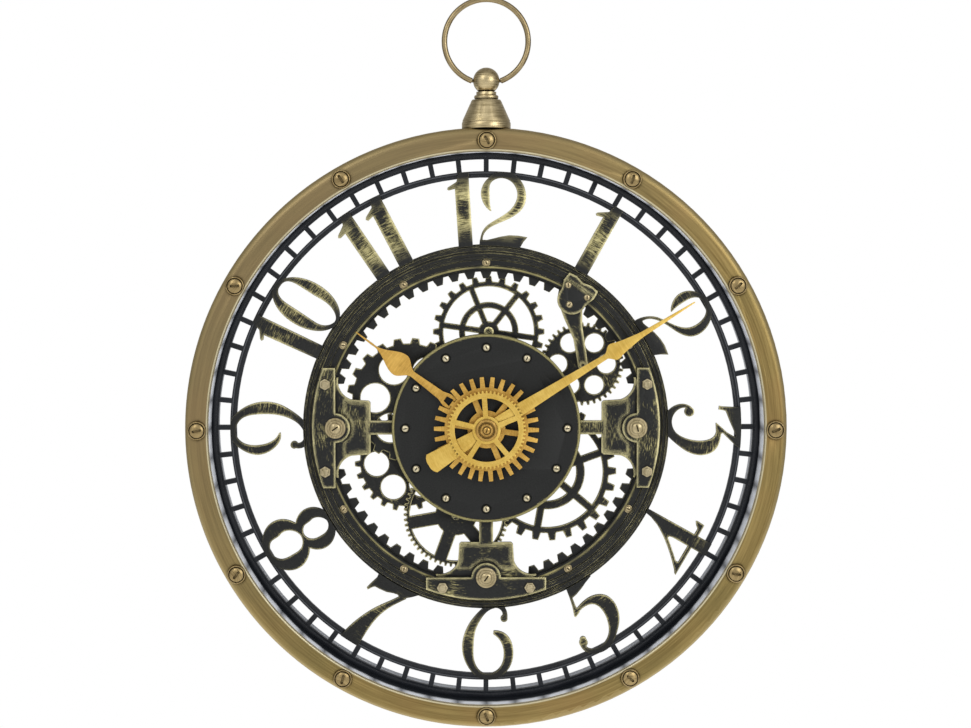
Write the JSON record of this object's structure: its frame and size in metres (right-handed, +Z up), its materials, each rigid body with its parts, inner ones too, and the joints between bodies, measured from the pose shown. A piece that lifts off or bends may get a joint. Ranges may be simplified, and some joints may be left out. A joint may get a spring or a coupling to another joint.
{
  "type": "skeleton wall clock",
  "caption": "Open-dial wall clock in the form of a pocket watch: bronze bezel with crown and bow, raised numerals, display gears and geared gold hands on a battery movement.",
  "frame": {"origin": "centre of the keyhole hanger's entry hole, on the wall plane at the back of the clock", "axes": "+Z up to the bow, +Y into the wall, +X to the right as the dial is read; the dial centre is 258 mm below the origin"},
  "size_m": [0.5406, 0.0488, 0.6586],
  "materials": {
    "bezel_bronze": "antique bronze, brushed round the ring",
    "crown_brass": "antique brass, turned and satin",
    "screw_brass": "antique brass, satin, dark in the slots",
    "track_black": "blue-black semi-gloss",
    "aged_black": "satin black, dry-brushed pale gold",
    "small_brass": "antique brass",
    "disk_black": "satin black with a pale worn rim",
    "bright_gold": "satin gold",
    "old_gold": "satin gold, brushed across",
    "case_plastic": "black moulded",
    "gear_plastic": "natural moulded",
    "battery_jacket": "plain sleeve",
    "copper": "enamelled wire",
    "board_green": "solder resist",
    "movement_brass": "bright turned",
    "zinc_steel": "zinc plated"
  },
  "bodies": {
    "clock": {"back_ring": "bezel_bronze", "back_screws": "zinc_steel", "bezel": "bezel_bronze", "bezel_liner": "track_black", "bezel_screws": "screw_brass", "bezel_sleeve": "track_black", "bezel_washers": "screw_brass", "bridges": "aged_black", "bushing_nut": "movement_brass", "carrier_plate": "aged_black", "centre_disk": "disk_black", "circuit_board": "board_green", "cock": "aged_black", "crown_ball": "crown_brass", "crown_base": "crown_brass", "crown_stud": "zinc_steel", "disk_screws": "small_brass", "frame_ring": "aged_black", "frame_screws": "small_brass", "gear_bottom": "aged_black", "gear_lower_left": "aged_black", "gear_lower_right": "aged_black", "gear_posts": "aged_black", "gear_top": "aged_black", "gear_upper_left": "aged_black", "gear_upper_right": "aged_black", "hanger_plate": "zinc_steel", "minute_track": "track_black", "motor_coil": "copper", "movement_case": "case_plastic", "movement_cover": "case_plastic", "numeral_1": "aged_black", "numeral_10": "aged_black", "numeral_11": "aged_black", "numeral_12": "aged_black", "numeral_2": "aged_black", "numeral_3": "aged_black", "numeral_4": "aged_black", "numeral_5": "aged_black", "numeral_6": "aged_black", "numeral_7": "aged_black", "numeral_8": "aged_black", "numeral_9": "aged_black", "shield_plate": "aged_black", "spacers": "zinc_steel", "strap_screws": "small_brass", "strap_studs": "small_brass", "straps": "aged_black", "toothed_ring": "aged_black"},
    "minute": {"minute_arbor": "movement_brass", "minute_hand": "bright_gold", "minute_wheel": "bright_gold", "hub_cap": "small_brass"},
    "hour": {"hour_tube": "movement_brass", "hour_gear": "old_gold", "hour_hand": "old_gold"},
    "setting": {"set_arbor": "gear_plastic"},
    "bow": {"bow": "crown_brass", "bow_pins": "crown_brass"},
    "battery": {"battery": "battery_jacket"}
  },
  "joints": [
    {"name": "minute_turn", "type": "hinge", "parent": "clock", "child": "minute", "pos_m": [0, -0.0417, -0.258], "axis": [0, 1, 0], "continuous": true},
    {"name": "hour_turn", "type": "hinge", "parent": "clock", "child": "hour", "pos_m": [0, -0.037, -0.258], "axis": [0, 1, 0], "continuous": true},
    {"name": "set_turn", "type": "hinge", "parent": "clock", "child": "setting", "pos_m": [0, -0.022, -0.246], "axis": [0, 1, 0], "continuous": true},
    {"name": "bow_swing", "type": "hinge", "parent": "clock", "child": "bow", "pos_m": [0, -0.0225, 0.0549], "axis": [1, 0, 0], "range_deg": [-15, 95]},
    {"name": "battery_slide", "type": "slide", "parent": "clock", "child": "battery", "axis": [0, 1, 0], "range_m": [0, 0.02]}
  ],
  "couplings": [
    {"joint": "hour_turn", "follows": "minute_turn", "ratio": 0.083333},
    {"joint": "set_turn", "follows": "minute_turn", "ratio": -0.33333}
  ]
}
